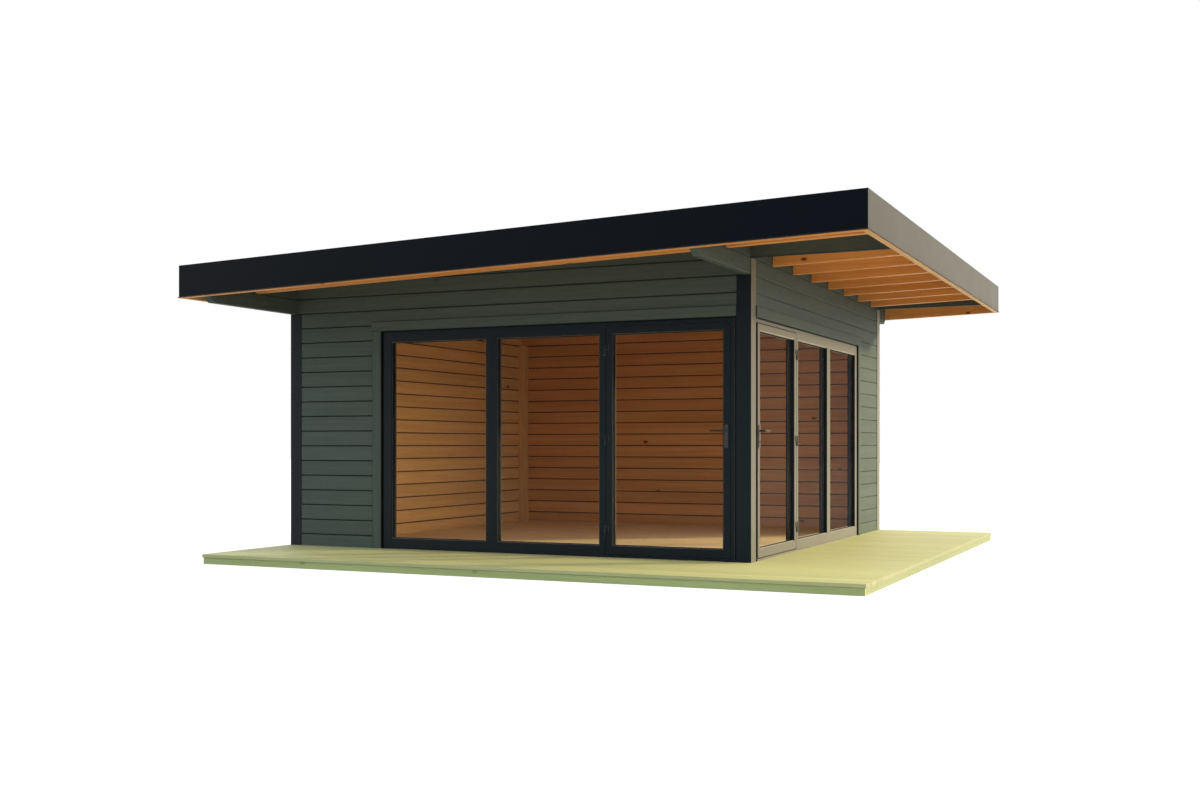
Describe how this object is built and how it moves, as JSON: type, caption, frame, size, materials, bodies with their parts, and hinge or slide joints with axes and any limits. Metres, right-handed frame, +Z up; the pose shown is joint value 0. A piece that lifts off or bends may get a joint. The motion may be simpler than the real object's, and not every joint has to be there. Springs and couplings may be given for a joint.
{
  "type": "garden office pod",
  "caption": "Square garden office of green log walls with glazed doors meeting at one corner, a flat dark-edged roof on timber rafters and a wooden deck; it gives a garden workroom.",
  "frame": {"origin": "middle of the house plan at ground level, on the underside of the floor bearers", "axes": "+X towards the side with the wide overhang, +Y from the front doors to the back wall, +Z up"},
  "size_m": [6.1, 6.216, 2.7946],
  "materials": {
    "green_log": "opaque green paint",
    "spruce": "natural planed spruce",
    "deck_timber": "pressure treated",
    "dark_metal": "powder coat",
    "door_metal": "powder coat",
    "glass": "clear sealed unit",
    "lever_steel": "dark satin",
    "membrane": "matt sheet"
  },
  "bodies": {
    "house": {"front_wall": "green_log", "front_lintel": "green_log", "rear_wall": "green_log", "left_wall": "green_log", "side_wall": "green_log", "side_lintel": "green_log", "left_purlin": "green_log", "right_purlin": "green_log", "gable_beams": "green_log", "rafter_infill": "green_log", "front_casing": "green_log", "side_casing": "green_log", "floor_boards": "spruce", "rafters": "spruce", "end_rims": "spruce", "side_rims": "spruce", "near_post": "spruce", "inner_posts": "spruce", "roof_boards": "spruce", "roof_kerb": "spruce", "deck_boards": "deck_timber", "deck_skirt": "deck_timber", "deck_joists": "deck_timber", "floor_bearers": "deck_timber", "front_fascia": "dark_metal", "rear_fascia": "dark_metal", "left_fascia": "dark_metal", "right_fascia": "dark_metal", "near_cover": "dark_metal", "rear_right_cover": "dark_metal", "front_left_cover": "dark_metal", "rear_left_cover": "dark_metal", "front_frame": "door_metal", "side_frame": "door_metal", "front_fixed_leaves": "door_metal", "side_fixed_leaves": "door_metal", "front_fixed_glass": "glass", "side_fixed_glass": "glass", "roof_membrane": "membrane"},
    "front_door": {"front_door_leaf": "door_metal", "front_door_glass": "glass"},
    "front_handle": {"front_lever": "lever_steel"},
    "side_door": {"side_door_leaf": "door_metal", "side_door_glass": "glass"},
    "side_handle": {"side_lever": "lever_steel"}
  },
  "joints": [
    {"name": "front_door_hinge", "type": "hinge", "parent": "house", "child": "front_door", "pos_m": [1.005, -2.305, 1.09], "axis": [0, 0, -1], "range_deg": [0, 160]},
    {"name": "front_lever_turn", "type": "hinge", "parent": "front_door", "child": "front_handle", "pos_m": [2.087, -2.2675, 1.156], "axis": [0, -1, 0], "range_deg": [0, 45], "stiffness_Nm_per_rad": 1.5, "springref_deg": -20.05},
    {"name": "side_door_hinge", "type": "hinge", "parent": "house", "child": "side_door", "pos_m": [2.305, -1.005, 1.09], "axis": [0, 0, 1], "range_deg": [0, 160]},
    {"name": "side_lever_turn", "type": "hinge", "parent": "side_door", "child": "side_handle", "pos_m": [2.2675, -2.087, 1.156], "axis": [-1, 0, 0], "range_deg": [0, 45], "stiffness_Nm_per_rad": 1.5, "springref_deg": -20.05}
  ]
}
